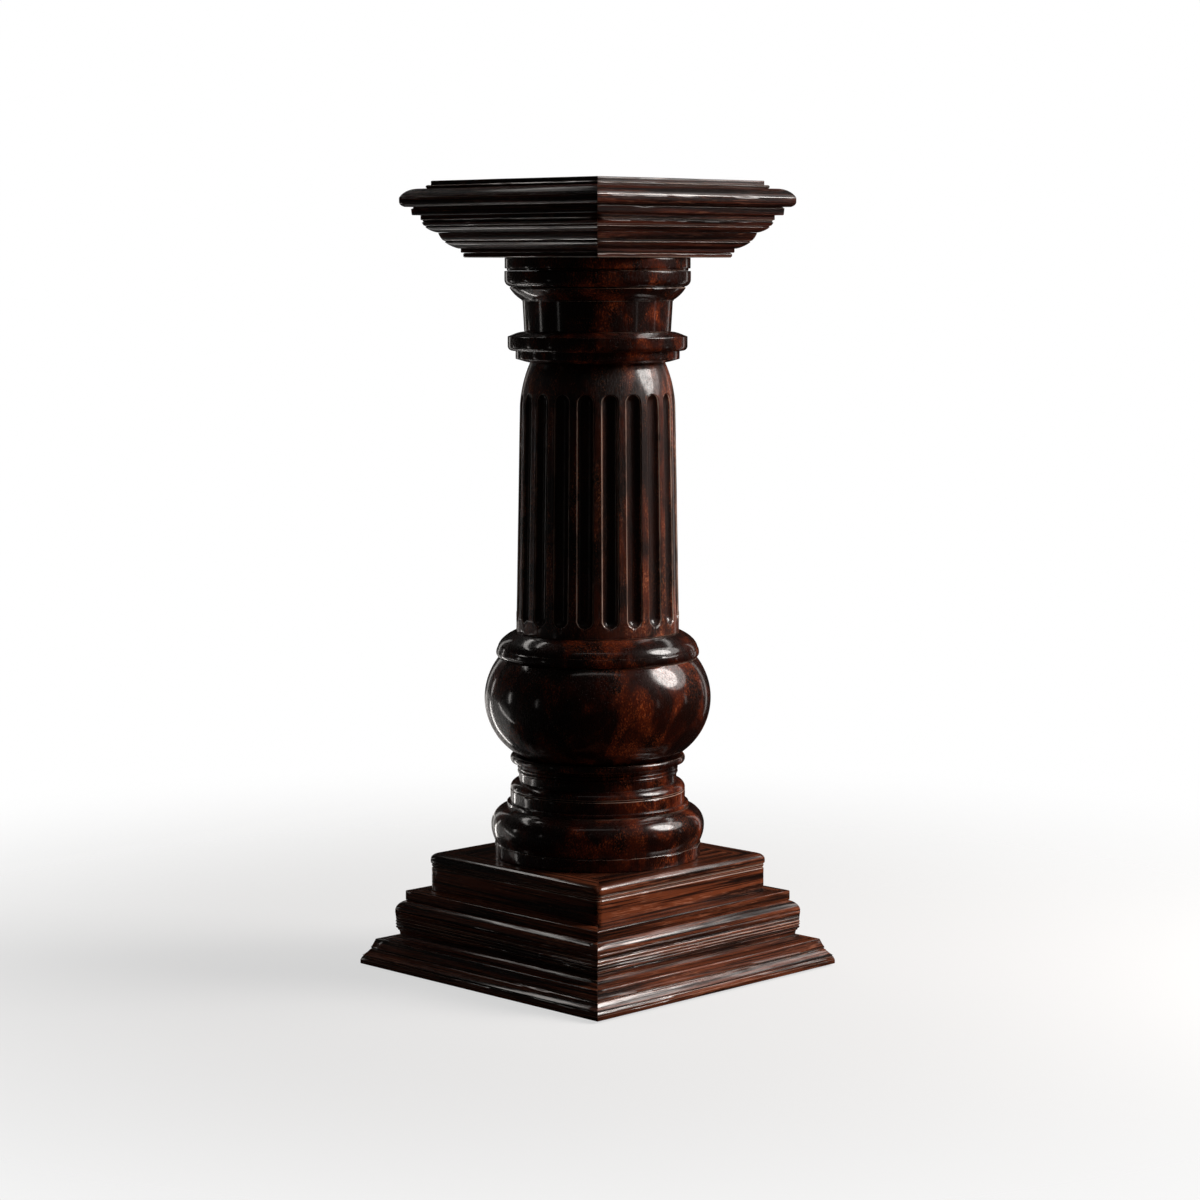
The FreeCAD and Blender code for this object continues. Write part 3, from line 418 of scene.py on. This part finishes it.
def side_path(turn_angle, corner_round, whole=True, corner_wear=0.0):
    """Stations along one side of a square, from one mitre to the next.

    Each gives, for a point of the outline, its place, the way out there and its
    wear. The corners are rounded, so that an arris at a mitre isn't a knife edge.
    """
    turned = Matrix.Rotation(math.radians(turn_angle), 3, "Z")
    along, out = turned @ Vector((1, 0, 0)), turned @ Vector((0, 1, 0))

    def straight(share):
        return lambda point, worn_and_shaded: (
            along * share * (point.x - corner_round) + out * point.x + up * point.y, out, worn_and_shaded)

    def bent(angle):
        hand = along * math.sin(angle) + out * math.cos(angle)
        side = along * math.copysign(1, angle) + out
        return lambda point, worn_and_shaded: (
            side * (point.x - corner_round) + hand * corner_round + up * point.y, hand,
            max(worn_and_shaded, corner_wear))

    bends = [math.radians(45) * share for share in (1, 0.75, 0.5, 0.25)]
    first = [bent(-angle) for angle in bends]
    last = [bent(angle) for angle in reversed(bends)]
    middle = [straight(2 * step / side_steps - 1) for step in range(side_steps + 1)]
    return first + middle + (last if whole else last[:-1])


wave_depth = 0.00012
wave_length = 0.05
dent_depth = 0.0007
dent_length = 0.016
dent_start = 0.1
chip_depth = 0.004
chip_length = 0.02
chip_start = 0.45
chip_shift = Vector((7, 3, 1))


def handled(place, normal, worn_and_shaded):
    """A point of the surface, moved in a little where tools and hands have been."""
    wave = wave_depth * (1 + noise.noise(place / wave_length))
    dent = dent_depth * max(0.0, noise.noise(place / dent_length) - dent_start)
    chip = chip_depth * max(0.0, noise.noise(place / chip_length + chip_shift) - chip_start)
    return place - normal * (wave + max(0.0, worn_and_shaded) * (dent + chip))


seed_shift = 1.7


def build(node, outline, stations, grain, material, seed,
          closed_section=True, closed_path=False):
    """Carry an outline through the stations of a path and make the piece of it.

    The grain coordinates run along the wood's length, then across it. A section
    or a path that doesn't close on itself ends in a flat face.
    """
    name = f"{node}_finished"
    count = len(outline)
    points = [point for point, worn_and_shaded in outline]
    vertices, grains, wear_and_shading_values = [], [], []
    for station in stations:
        for i, (point, worn_and_shaded) in enumerate(outline):
            edge = points[(i + 1) % count] - points[i - 1]
            if not closed_section and i in (0, count - 1):
                edge = Vector((1, 0)) if i == 0 else Vector((-1, 0))
            edge.normalize()
            spot, out, rubbed_and_highlit = station(point, worn_and_shaded)
            place = handled(spot, out * edge.y - up * edge.x, rubbed_and_highlit)
            vertices.append(place)
            grains.append(grain(place) + Vector((seed * seed_shift, 0, 0)))
            wear_and_shading_values.append(rubbed_and_highlit)
    rows = len(stations)
    faces, flats = [], []
    for row in range(rows if closed_path else rows - 1):
        ahead = (row + 1) % rows
        for i in range(count if closed_section else count - 1):
            j = (i + 1) % count
            faces.append((row * count + i, row * count + j, ahead * count + j, ahead * count + i))
    if not closed_path:
        flats += [tuple(range(count)), tuple(range((rows - 1) * count, rows * count))]
    if not closed_section:
        flats += [tuple(row * count for row in range(rows)),
                  tuple(row * count + count - 1 for row in range(rows))]
    mesh = bpy.data.meshes.new(name)
    mesh.from_pydata(vertices, [], faces + flats)
    mesh.attributes.new("grain", "FLOAT_VECTOR", "POINT").data.foreach_set(
        "vector", [number for vector in grains for number in vector])
    mesh.attributes.new("wear_and_shading", "FLOAT", "POINT").data.foreach_set("value", wear_and_shading_values)
    shape = bmesh.new()
    shape.from_mesh(mesh)
    bmesh.ops.recalc_face_normals(shape, faces=shape.faces)
    shape.faces.ensure_lookup_table()
    for face in shape.faces:
        face.smooth = True
    for face in shape.faces[len(faces):]:
        for edge in face.edges:
            edge.smooth = False
    shape.to_mesh(mesh)
    shape.free()
    mesh.materials.append(material)
    piece = bpy.data.objects.new(name, mesh)
    bpy.context.scene.collection.objects.link(piece)
    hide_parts(node)
    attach(piece, "root")


# The pale colour of the arrises is partly wear and partly a painted highlight, for the thin light
# lines along the edges.
worn_edge_highlight = colour(0.46, 0.32, 0.25)
dull_patch = (0.07, 0.004)
dark_fleck = 0.35
fleck_share = 0.8
pore_ink = 0.55
hollow_shade_ink = 0.85
line_loss = 0.3
pore_loss = 0.35
line_relief = 0.6
pore_relief = 0.8
line_blur = 0.16
band_gloss = 0.08


def polished_wood(name, black, red, bright, figure, streak, pore, gloss, bump=0.00022,
                  mottle=0.0, worn_polish=0.6, ink=0.9, fleck=(0.02, 0.0012), polish=0.95,
                  drift=(0.16, 0.009), rub_and_highlight=0.4, sheen=0.08, satin=0.42):
    """A dark rosewood finish under a hand-rubbed polish.

    figure, streak, pore, fleck and drift are lengths along the grain and widths
    across it, in metres, of the broad bands, the fine dark lines, the open pores,
    the bright flecks and the clouds that the flecks lie in. mottle is how black
    the wood is between those clouds, ink how black the fine lines are and bump how
    deep lines and pores lie. rub is how pale the arrises are, which is partly wear
    and partly a painted highlight, and the hollows are painted black as shade.
    polish and gloss are the weight and the blur of the polish, worn_polish the share
    of it that has gone in dull patches, and sheen and satin the shine and the blur
    of the wood under it.
    """
    material = bpy.data.materials.new(name)
    wood = Finish(material)
    place = wood.node("ShaderNodeAttribute", {"attribute_name": "grain"}, output="Vector")
    worn_and_shaded = wood.node("ShaderNodeAttribute", {"attribute_name": "wear_and_shading"}, output="Fac")

    def stretched(size, detail, distortion=0.0, shift=0.0):
        scaled = wood.node("ShaderNodeVectorMath", {"operation": "MULTIPLY_ADD"}, {
            0: place, 1: (1 / size[0], 1 / size[1], 1 / size[1]), 2: (shift, shift, shift)})
        return wood.node("ShaderNodeTexNoise", inputs={
            "Vector": scaled, "Scale": 1.0, "Detail": detail, "Distortion": distortion})

    bands = wood.ramp(stretched(figure, detail=4.0, distortion=0.7), start=0.38, end=0.62)
    lines = wood.ramp(stretched(streak, detail=6.0, distortion=0.4, shift=3.0),
                      start=0.50, end=0.62)
    pores = wood.ramp(stretched(pore, detail=2.0, shift=9.0), start=0.58, end=0.68)
    cloud = wood.ramp(stretched(drift, detail=5.0, distortion=0.9, shift=5.0),
                      start=0.40, end=0.62)
    flecks = wood.ramp(stretched(fleck, detail=5.0, distortion=0.4, shift=13.0),
                       start=0.50, end=0.64)
    ground = wood.blend(bands, black, red)
    ground = wood.blend((dark_fleck + (1 - dark_fleck) * bands) * flecks * cloud * fleck_share,
                        ground, bright)
    ground = wood.blend((1 - cloud) * mottle, ground, black)
    ground = wood.blend(lines * ink, ground, black)
    ground = wood.blend(pores * pore_ink, ground, black)
    # Pale colour on the arrises: wear, and a painted highlight.
    rubbed_and_highlit = wood.ramp(worn_and_shaded, start=0.3, end=0.9)
    ground = wood.blend(rubbed_and_highlit * (rub_and_highlight / 2 + rub_and_highlight * bands), ground, worn_edge_highlight)
    # Black in the hollow corners and the flute channels: painted shade.
    painted_hollow_shade = wood.ramp(worn_and_shaded, start=-0.1, end=-0.9)
    ground = wood.blend(painted_hollow_shade * hollow_shade_ink, ground, black)
    patches = stretched(dull_patch, detail=5.0, distortion=0.8, shift=17.0)
    dull = worn_polish * wood.ramp(patches, start=0.38, end=0.62)
    shine = (polish + (1 - polish) * rubbed_and_highlit) * (1 - pore_loss * pores - line_loss * lines)
    height = 1 - (line_relief * lines + pore_relief * pores)
    relief = wood.node("ShaderNodeBump", inputs={
        "Strength": 1.0, "Distance": bump, "Height": height})
    wood.node("ShaderNodeOutputMaterial", inputs={"Surface": wood.node(
        "ShaderNodeBsdfPrincipled", inputs={
            "Base Color": ground,
            "Roughness": satin + line_blur * lines - band_gloss * bands,
            "Specular IOR Level": sheen,
            "Coat Weight": (1 - dull) * shine,
            "Coat Roughness": gloss,
            "Coat IOR": 1.65,
            "Normal": relief})})
    return material


plinth_colours = {"black": colour(0.010, 0.0035, 0.0022), "red": colour(0.20, 0.048, 0.018),
                  "bright": colour(0.42, 0.15, 0.08)}
board_wood = polished_wood("board_finish", **plinth_colours, figure=(0.30, 0.012),
                           streak=(0.12, 0.0016), pore=(0.010, 0.00035), gloss=0.08,
                           bump=0.00010, worn_polish=0.75)
plinth_round = 0.008


def along_side(turn_angle):
    """Grain that runs along a side: its length, then across it, then up."""
    turned = Matrix.Rotation(math.radians(-turn_angle), 3, "Z")
    return lambda place: turned @ place


for number, (side, angle) in enumerate(SIDES):
    node = f"plinth_board_{side}"
    out = Matrix.Rotation(math.radians(angle), 3, "Z") @ Vector((0, 1, 0))
    build(node, softened(section_of(node, out), board_ease), side_path(angle, plinth_round),
          along_side(angle), board_wood, seed=number)

# The plinth's top board, one wide board whose rounded upper edge draws a broad
# silver band on the right. The column's foot stands on it.


def square_path(corner_round):
    """Stations right round a square with rounded corners."""
    return [station for side, angle in reversed(SIDES)
            for station in side_path(angle, corner_round, whole=False)]


def from_axis(points, reach):
    """The outline of a board from under its middle round to above it, without bores."""
    kept = [point for point in points if point.x > reach]
    first = min(range(len(kept)), key=lambda i: (round(kept[i].y, 5), kept[i].x))
    kept = kept[first:] + kept[:first]
    foot, head = min(p.y for p in points), max(p.y for p in points)
    return [Vector((reach, foot))] + kept + [Vector((reach, head))]


lipping = 0.03


def lipped(reach):
    """Grain from front to back, and along each edge in the lippings round a board."""
    def grain(place):
        across = max(abs(place.x), abs(place.y)) < reach - lipping
        if across or abs(place.x) > abs(place.y):
            return Vector((place.y, place.x, place.z))
        return Vector((place.x, place.y, place.z))
    return grain


bore_margin = 0.003
front = Vector((0, -1, 0))


def board(node, corner_round, material, seed):
    """A flat board with lipped edges, left flat over the bores in its middle."""
    points = from_axis(section_of(node, front), bore_reach)
    edge = [entry for entry in softened(points, board_ease)
            if entry[0].x > bore_reach + bore_margin]
    start = min(range(len(edge)), key=lambda i: (round(edge[i][0].y, 4), edge[i][0].x))
    outline = [(points[0], 0.0)] + edge[start:] + edge[:start] + [(points[-1], 0.0)]
    reach = max(point.x for point in points)
    build(node, outline, square_path(corner_round), lipped(reach), material,
          seed, closed_section=False, closed_path=True)


board("plinth_top_board", plinth_round, board_wood, seed=4)

# The three tiers of moulding round the plinth. Each length is run on a moulding
# plane, mitred and glued. Fine reeds are scratched into the two lower tiers.

narrow_grain = {"figure": (0.26, 0.007), "streak": (0.10, 0.0012), "pore": (0.012, 0.00035)}
moulding_wood = polished_wood("moulding_finish", **plinth_colours, **narrow_grain, gloss=0.08,
                              bump=0.00010, worn_polish=0.75)
moulding_ease = 0.0010
mitre_round = 0.0007
mitre_wear = 0.5
reed_depth = 0.0010
reed_half_width = 0.0009
face_depth = 0.02


def incised(points, level):
    """Scratch a fine reed into the outer face of an outline, at a height."""
    facing = max(point.x for point in points) - face_depth
    near = [point.x > facing and abs(point.y - level) < reed_half_width for point in points]
    kept = [point for point, gone in zip(points, near) if not gone]
    for place, (under, over) in enumerate(zip(kept, kept[1:] + kept[:1])):
        if under.x > facing and over.x > facing and under.y < level < over.y:
            share = (level - under.y) / (over.y - under.y)
            face = under.x + (over.x - under.x) * share
            return kept[:place + 1] + [Vector((face, level - reed_half_width)),
                                       Vector((face - reed_depth, level)),
                                       Vector((face, level + reed_half_width))] + kept[place + 1:]
    return points


def mouldings(kind, ease, material, seed, reeds=()):
    """The four mitred lengths of one tier."""
    for number, (side, angle) in enumerate(SIDES):
        node = f"{kind}_{side}"
        out = Matrix.Rotation(math.radians(angle), 3, "Z") @ Vector((0, 1, 0))
        points = section_of(node, out)
        for reed in reeds:
            points = incised(points, reed)
        build(node, softened(points, ease),
              side_path(angle, mitre_round, corner_wear=mitre_wear),
              along_side(angle), material, seed=seed + number)


base_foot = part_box("base_mould_front")[0].z
mouldings("base_mould", moulding_ease, moulding_wood, seed=5,
          reeds=[base_foot + rise for rise in (0.0095, 0.0185)])
torus_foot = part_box("torus_mould_front")[0].z
mouldings("torus_mould", moulding_ease, moulding_wood, seed=9,
          reeds=[torus_foot + rise for rise in (0.0065, 0.0110, 0.0145, 0.0180, 0.0230, 0.0285)])
mouldings("ledge_mould", moulding_ease, moulding_wood, seed=13)

# The turned stack, from the foot up to the disc under the cap. Each piece is
# turned from a thick blank, with the grain upright, and polished on the lathe.

short_grain = {"figure": (0.05, 0.032), "streak": (0.016, 0.0018), "pore": (0.003, 0.0007),
               "fleck": (0.0026, 0.0015), "ink": 0.4, "worn_polish": 0.2}
turned_wood = polished_wood("turned_finish", black=colour(0.009, 0.002, 0.001),
                            red=colour(0.10, 0.013, 0.0035), bright=colour(0.50, 0.10, 0.025),
                            **short_grain, gloss=0.11, mottle=0.85, drift=(0.06, 0.045),
                            rub_and_highlight=0.6)
turned_ease = 0.0008
lathe_steps = 160


def round_path():
    """Stations round the column's axis."""
    def spoke(angle):
        out = Vector((math.cos(angle), math.sin(angle), 0))
        return lambda point, worn_and_shaded: (out * point.x + up * point.y, out, worn_and_shaded)
    return [spoke(2 * math.pi * step / lathe_steps) for step in range(lathe_steps)]


def upright(place):
    """Grain that runs up the column."""
    return Vector((place.z, place.x, place.y))


right = Vector((1, 0, 0))
# Their seeds are picked so that black clouds of the figure fall on the bulb's upper middle, as
# painted shade.
for number, node in enumerate(("column_foot", "lower_collar", "bulb", "shaft_collar",
                               "necking_rings", "capital", "abacus_disc")):
    build(node, softened(section_of(node, right), turned_ease), round_path(), upright,
          turned_wood, seed=74 + number, closed_path=True)

# The fluted shaft. A ball-nosed cutter has run its flutes along the taper, down
# to a rounded tip at each end, and the lands between them shine at their arrises.

shaft_wood = polished_wood("shaft_finish", black=colour(0.012, 0.003, 0.0015),
                           red=colour(0.14, 0.026, 0.010), bright=colour(0.55, 0.17, 0.07),
                           **short_grain, gloss=0.13, mottle=0.5, polish=0.6,
                           drift=(0.12, 0.02), rub_and_highlight=0.9, sheen=0.3, satin=0.5)
flute_count = 20
cutter_radius = 0.010
flute_depth = 0.007
flute_foot = 0.022
flute_crown = 0.268
taper_height = 0.256
tip_reach = math.sqrt(cutter_radius ** 2 - (cutter_radius - flute_depth) ** 2)
tip_steps = 8
flute_shares = (-1, -0.94, -0.84, -0.68, -0.48, -0.25, 0, 0.25, 0.48, 0.68, 0.84, 0.94)
land_shares = (0, 0.03, 0.10, 0.13, 0.3, 0.5, 0.7, 0.87, 0.90, 0.97)
arris_ease = 0.0009
arris_width = 0.0010
shaft_spacing = 0.0038
arris_share = 0.9
# The flute channels are marked for painted shade, which blackens them.
channel_shade = -0.8
closed_half = 0.004
tip_margin = 0.002
above_foot = 0.0005
shaft_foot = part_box("fluted_shaft")[0].z
mid_land = math.pi / flute_count
shaft_outline = section_of("fluted_shaft", Vector((math.cos(mid_land), math.sin(mid_land), 0)))


def reach_at(height):
    """How far out the face of the shaft stands at a height above its foot."""
    level = shaft_foot + height
    crossings = []
    for under, over in zip(shaft_outline, shaft_outline[1:] + shaft_outline[:1]):
        if under.y <= level <= over.y and over.y - under.y > touching:
            share = (level - under.y) / (over.y - under.y)
            crossings.append(under.x + (over.x - under.x) * share)
    return max(crossings)


foot_reach = reach_at(above_foot)
shoulder_reach = reach_at(taper_height)


def flute_at(point):
    """The reach of the cutter's middle and its radius in the level of a point."""
    height = point.y - shaft_foot
    taper = (foot_reach - shoulder_reach) * height / taper_height
    beyond = max(0.0, flute_foot - height, height - flute_crown)
    return (foot_reach - taper + cutter_radius - flute_depth,
            math.sqrt(max(0.0, cutter_radius ** 2 - beyond ** 2)))


def fluted_path():
    """Stations round the shaft that keep to the arrises of its flutes."""
    pitch = 2 * math.pi / flute_count

    def spoke(number, share, on_land):
        def station(point, worn_and_shaded):
            middle, cut = flute_at(point)
            open_width = 0.0
            if point.x > foot_reach / 2:
                inset = (middle ** 2 + point.x ** 2 - cut ** 2) / (2 * middle * point.x)
                open_width = math.acos(inset) if inset < 1 else 0.0
            half = max(open_width, closed_half)
            swing = half + share * (pitch - 2 * half) if on_land else share * half
            from_arris = abs(abs(swing) - half) if not on_land else min(
                swing - half, pitch - half - swing)
            reach = point.x
            if open_width and not on_land:
                reach = middle * math.cos(swing) - math.sqrt(
                    max(0.0, cut ** 2 - (middle * math.sin(swing)) ** 2))
            if open_width:
                near = max(0.0, 1 - from_arris * point.x / arris_width)
                reach = min(reach, point.x - arris_ease * near)
                # Lands near an arris take the pale colour of wear and painted highlight; the flute
                # channels take painted shade.
                by_arris = on_land or abs(share) > arris_share
                worn_and_shaded = max(worn_and_shaded, near) if by_arris else channel_shade
            angle = pitch * number + swing
            out = Vector((math.cos(angle), math.sin(angle), 0))
            return out * reach + up * point.y, out, worn_and_shaded
        return station

    return [spoke(number, share, on_land) for number in range(flute_count)
            for on_land, shares in ((False, flute_shares), (True, land_shares))
            for share in shares]


def with_tips(outline):
    """Add the points on the shaft's face that the rounded tips of its flutes need."""
    levels = [flute_foot - tip_reach * math.sin(math.pi / 2 * step / tip_steps)
              for step in range(tip_steps + 1)]
    levels += [flute_crown + flute_foot - level for level in levels]
    added = [(Vector((reach_at(level), shaft_foot + level)), 0.0) for level in levels]
    top = max(levels) + shaft_foot
    bottom = min(levels) + shaft_foot
    face = [entry for entry in outline if entry[0].x > foot_reach / 2
            and bottom - tip_margin < entry[0].y < top + tip_margin]
    kept = [entry for entry in face
            if all((entry[0] - other[0]).length > finest_step for other in added)]
    merged = sorted(kept + added, key=lambda entry: entry[0].y)
    start = next(i for i, entry in enumerate(outline) if entry is face[0])
    rest = [entry for entry in outline[start:] + outline[:start]
            if not any(entry is other for other in face)]
    return merged + rest


shaft_softened = softened(shaft_outline, turned_ease, shaft_spacing)
build("fluted_shaft", with_tips(shaft_softened), fluted_path(), upright, shaft_wood,
      seed=28, closed_path=True)

# The cap. A thin soffit board and two tiers of moulding hide its core, and the
# top panel lies in the frame of the nosing.

# The cap's wood is painted darker than the plinth's: painted shade, for the dimmer light that
# falls on the cap.
cap_wood_shaded = polished_wood("cap_finish_shaded", black=colour(0.007, 0.0026, 0.002),
                         red=colour(0.085, 0.018, 0.009), bright=colour(0.22, 0.085, 0.05),
                         **narrow_grain, gloss=0.09, bump=0.00012, polish=0.42)
cap_ease = 0.0015
bed_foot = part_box("bed_mould_front")[0].z
ovolo_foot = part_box("ovolo_mould_front")[0].z
board("soffit_board", mitre_round, cap_wood_shaded, seed=30)
mouldings("ovolo_mould", cap_ease, cap_wood_shaded, seed=31, reeds=[ovolo_foot + 0.0125])
mouldings("bed_mould", cap_ease, cap_wood_shaded, seed=35, reeds=[bed_foot + 0.0065, bed_foot + 0.0125])
mouldings("nosing", cap_ease, cap_wood_shaded, seed=39)
board("top_panel", mitre_round, cap_wood_shaded, seed=43)

# What the stand hides: the core, bearer, blocks, dowels and splines of plain sawn
# wood, and the rod, nuts, washers and screws of zinc-plated steel.

sawn_wood = bpy.data.materials.new("sawn_finish")
sawn = Finish(sawn_wood)
sawn_place = sawn.node("ShaderNodeTexCoord", output="Object")
sawn_lines = sawn.node("ShaderNodeTexNoise", inputs={
    "Vector": sawn.node("ShaderNodeVectorMath", {"operation": "MULTIPLY"}, {
        0: sawn_place, 1: (8, 160, 160)}), "Scale": 1.0, "Detail": 5.0})
sawn_marks = sawn.node("ShaderNodeTexWave", {"bands_direction": "X"}, {
    "Vector": sawn_place, "Scale": 90.0, "Distortion": 1.2, "Detail": 2.0}, "Fac")
sawn_bump = sawn.node("ShaderNodeBump", inputs={
    "Strength": 0.6, "Distance": 0.0003, "Height": 0.6 * sawn_lines + 0.4 * sawn_marks})
sawn.node("ShaderNodeOutputMaterial", inputs={"Surface": sawn.node(
    "ShaderNodeBsdfPrincipled", inputs={
        "Base Color": sawn.blend(sawn_lines, colour(0.16, 0.085, 0.04), colour(0.42, 0.27, 0.15)),
        "Roughness": 0.7 + 0.2 * sawn_lines, "Normal": sawn_bump})})

plated_steel = bpy.data.materials.new("steel_finish")
steel = Finish(plated_steel)
spangle = steel.node("ShaderNodeTexNoise", inputs={
    "Vector": steel.node("ShaderNodeTexCoord", output="Object"), "Scale": 220.0, "Detail": 4.0})
steel.node("ShaderNodeOutputMaterial", inputs={"Surface": steel.node(
    "ShaderNodeBsdfPrincipled", inputs={
        "Base Color": steel.blend(spangle, colour(0.42, 0.42, 0.40), colour(0.62, 0.61, 0.57)),
        "Metallic": 1.0, "Roughness": 0.28 + 0.2 * spangle,
        "Normal": steel.node("ShaderNodeBump", inputs={
            "Strength": 0.3, "Distance": 0.0001, "Height": spangle})})})

for node in ("corner_block_front_left", "corner_block_front_right", "corner_block_back_left",
             "corner_block_back_right", "plinth_bearer", "cap_core", "foot_dowels",
             "cap_dowels", "nosing_splines"):
    give_finish(node, sawn_wood)
for node in ("tie_rod", "tie_rod_nuts", "tie_rod_washers", "base_screws"):
    give_finish(node, plated_steel)
